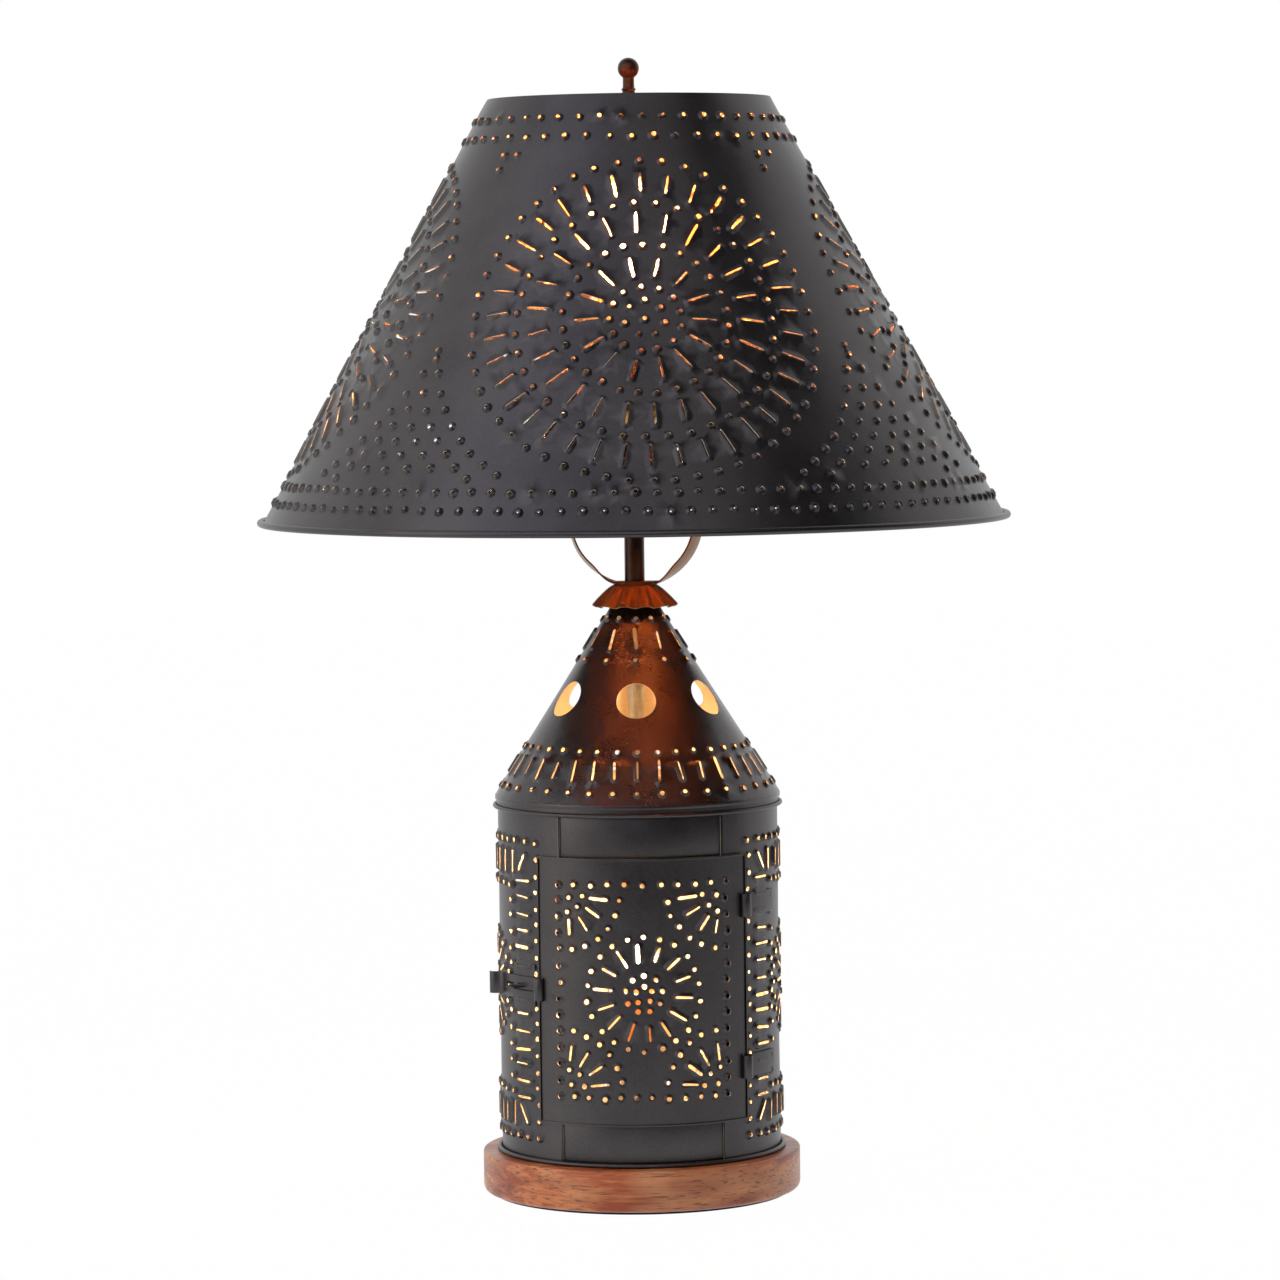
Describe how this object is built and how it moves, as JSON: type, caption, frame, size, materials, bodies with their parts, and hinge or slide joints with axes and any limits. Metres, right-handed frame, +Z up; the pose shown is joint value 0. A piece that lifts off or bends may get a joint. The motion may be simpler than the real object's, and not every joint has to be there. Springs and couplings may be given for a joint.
{
  "type": "table lamp",
  "caption": "Punched-tin lantern table lamp with a hinged door, cone roof, ring handle, round wooden base and a wide cone shade held on a harp by a finial.",
  "frame": {"origin": "centre of the underside of the felt, on the surface that the lamp stands on", "axes": "+Z up along the lamp's axis, the lantern's door faces -Y, +X to the right of someone who faces the door"},
  "size_m": [0.432, 0.432, 0.652],
  "materials": {
    "black_tin": "smoky black rubbed finish on tinplate, satin",
    "wood": "reddish brown hardwood, satin lacquer",
    "felt": "pressed felt",
    "steel": "zinc plated",
    "brass": "plain brass",
    "bronze": "oil rubbed bronze",
    "phenolic": "moulded phenolic",
    "liner_card": "insulating card",
    "bulb_glass": "clear glass",
    "lead": "extruded vinyl"
  },
  "bodies": {
    "lamp": {"base_felt": "felt", "wood_base": "wood", "cord_bushing": "phenolic", "base_washer": "steel", "base_locknut": "steel", "centre_rod": "steel", "lantern_floor": "black_tin", "floor_locknut": "steel", "lantern_shell": "black_tin", "sill_band": "black_tin", "head_band": "black_tin", "hinge_strap_upper": "black_tin", "hinge_strap_lower": "black_tin", "hasp_staple": "black_tin", "candle_bracket": "steel", "bracket_locknut_lower": "steel", "bracket_locknut_upper": "steel", "night_socket": "phenolic", "night_socket_nut": "steel", "night_lead": "lead", "roof_rim": "black_tin", "cone_roof": "black_tin", "neck_washer": "steel", "neck_locknut": "steel", "scalloped_cap": "black_tin", "ring_handle": "black_tin", "riser_tube": "bronze", "harp_saddle": "bronze", "socket_cap": "brass", "socket_shell": "brass", "socket_liner": "liner_card", "socket_core": "phenolic"},
    "door": {"door_panel": "black_tin"},
    "hasp": {"door_hasp": "black_tin"},
    "switch": {"switch_knob": "phenolic"},
    "upper_bulb": {"upper_bulb_base": "brass", "upper_bulb_glass": "bulb_glass"},
    "night_bulb": {"night_bulb_base": "brass", "night_bulb_glass": "bulb_glass"},
    "harp": {"harp": "bronze"},
    "ferrule_left": {"harp_ferrule_left": "bronze"},
    "ferrule_right": {"harp_ferrule_right": "bronze"},
    "shade": {"shade_cone": "black_tin", "shade_rim_wire": "steel", "shade_top_hem": "black_tin", "shade_spider": "black_tin"},
    "finial": {"finial": "bronze"}
  },
  "joints": [
    {"name": "door_swing", "type": "hinge", "parent": "lamp", "child": "door", "pos_m": [0.06051, -0.05797, 0.125], "axis": [0, 0, 1], "range_deg": [0, 110]},
    {"name": "hasp_swing", "type": "hinge", "parent": "door", "child": "hasp", "pos_m": [-0.05699, -0.06111, 0.125], "axis": [0, 0, 1], "range_deg": [0, 100]},
    {"name": "switch_turn", "type": "hinge", "parent": "lamp", "child": "switch", "pos_m": [0, -0.02, 0.4645], "axis": [0, -1, 0], "continuous": true},
    {"name": "upper_bulb_turn", "type": "hinge", "parent": "lamp", "child": "upper_bulb", "pos_m": [0, 0, 0.5], "axis": [0, 0, 1], "continuous": true},
    {"name": "night_bulb_turn", "type": "hinge", "parent": "lamp", "child": "night_bulb", "pos_m": [0, -0.032, 0.12], "axis": [0, 0, 1], "continuous": true},
    {"name": "harp_lift", "type": "slide", "parent": "lamp", "child": "harp", "axis": [0, 0, 1], "range_m": [0, 0.2]},
    {"name": "ferrule_left_slide", "type": "slide", "parent": "harp", "child": "ferrule_left", "axis": [0, 0, 1], "range_m": [0, 0.012]},
    {"name": "ferrule_right_slide", "type": "slide", "parent": "harp", "child": "ferrule_right", "axis": [0, 0, 1], "range_m": [0, 0.012]},
    {"name": "shade_turn", "type": "hinge", "parent": "harp", "child": "shade", "pos_m": [0, 0, 0.622], "axis": [0, 0, 1], "continuous": true},
    {"name": "finial_turn", "type": "hinge", "parent": "harp", "child": "finial", "pos_m": [0, 0, 0.635], "axis": [0, 0, 1], "continuous": true}
  ]
}
